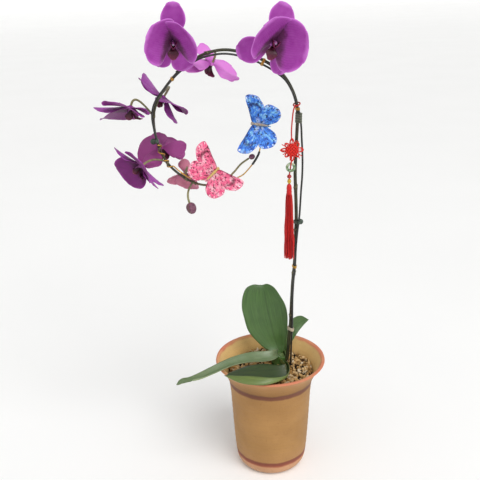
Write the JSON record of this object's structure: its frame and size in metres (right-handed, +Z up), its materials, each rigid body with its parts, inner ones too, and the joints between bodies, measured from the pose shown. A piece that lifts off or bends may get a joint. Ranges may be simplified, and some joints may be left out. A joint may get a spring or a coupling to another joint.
{
  "type": "potted doritaenopsis orchid",
  "caption": "Potted moth orchid hybrid with strap leaves and purple blooms on a spike trained round a wire hoop, dressed with craft butterflies and a knot tassel.",
  "frame": {"origin": "centre of the pot's flat base", "axes": "+Z up the pot's axis, +X to the picture's right along the hoop's plane, -Y to the side the blooms are looked at from"},
  "size_m": [0.2504, 0.1392, 0.5515],
  "materials": {
    "stoneware": "matt tan stoneware with a red-brown rim and bands",
    "bark_mix": "dry bark and pumice chips",
    "rootstock": "fleshy green-grey stem and roots",
    "leaf": "waxy green leaf",
    "spike": "smooth dark olive stalk",
    "black_wire": "black coated steel wire",
    "beige_clip": "beige plastic clip",
    "green_clip": "dark green plastic clip",
    "tape": "green-grey grafting tape",
    "gold_wire": "soft gold wire",
    "petal": "velvety magenta petal",
    "lip": "dark crimson lip",
    "bud": "mauve-brown bud",
    "blue_wing": "printed blue craft wing",
    "pink_wing": "printed pink craft wing",
    "brown_body": "brown wrapped craft body",
    "gold_body": "gold craft body",
    "red_silk": "red silky cord and thread",
    "red_bead": "red bead",
    "jade": "polished green stone",
    "gold_bead": "gold bead"
  },
  "bodies": {
    "root": {"pot": "stoneware", "potting_mix": "bark_mix", "crown_and_roots": "rootstock", "leaf_upright": "leaf", "leaf_left": "leaf", "leaf_front": "leaf", "leaf_back": "leaf", "flower_spike": "spike", "support_wire": "black_wire", "clip_base": "beige_clip", "tie_stake": "gold_wire", "clip_stake": "green_clip", "tape_wrap": "tape", "tie_shoulder": "gold_wire", "tie_hoop_right": "gold_wire", "tie_hoop_left": "gold_wire", "clip_hoop": "green_clip", "decor_wire": "gold_wire", "bud_large": "bud", "bud_tip": "bud", "butterfly_blue_wings": "blue_wing", "butterfly_blue_body": "brown_body", "butterfly_pink_wings": "pink_wing", "butterfly_pink_body": "gold_body", "tassel_cord": "red_silk", "tassel_lower_cord": "red_silk", "tassel_knot": "red_silk", "tassel_skirt": "red_silk", "tassel_ring": "jade", "tassel_bead_red": "red_bead", "tassel_bead_gold": "gold_bead", "bloom_1_perianth": "petal", "bloom_1_lip": "lip", "bloom_2_perianth": "petal", "bloom_2_lip": "lip", "bloom_3_perianth": "petal", "bloom_3_lip": "lip", "bloom_4_perianth": "petal", "bloom_4_lip": "lip", "bloom_5_perianth": "petal", "bloom_5_lip": "lip", "bloom_6_perianth": "petal", "bloom_6_lip": "lip", "bloom_7_perianth": "petal", "bloom_7_lip": "lip", "bloom_8_perianth": "petal", "bloom_8_lip": "lip"}
  },
  "joints": []
}
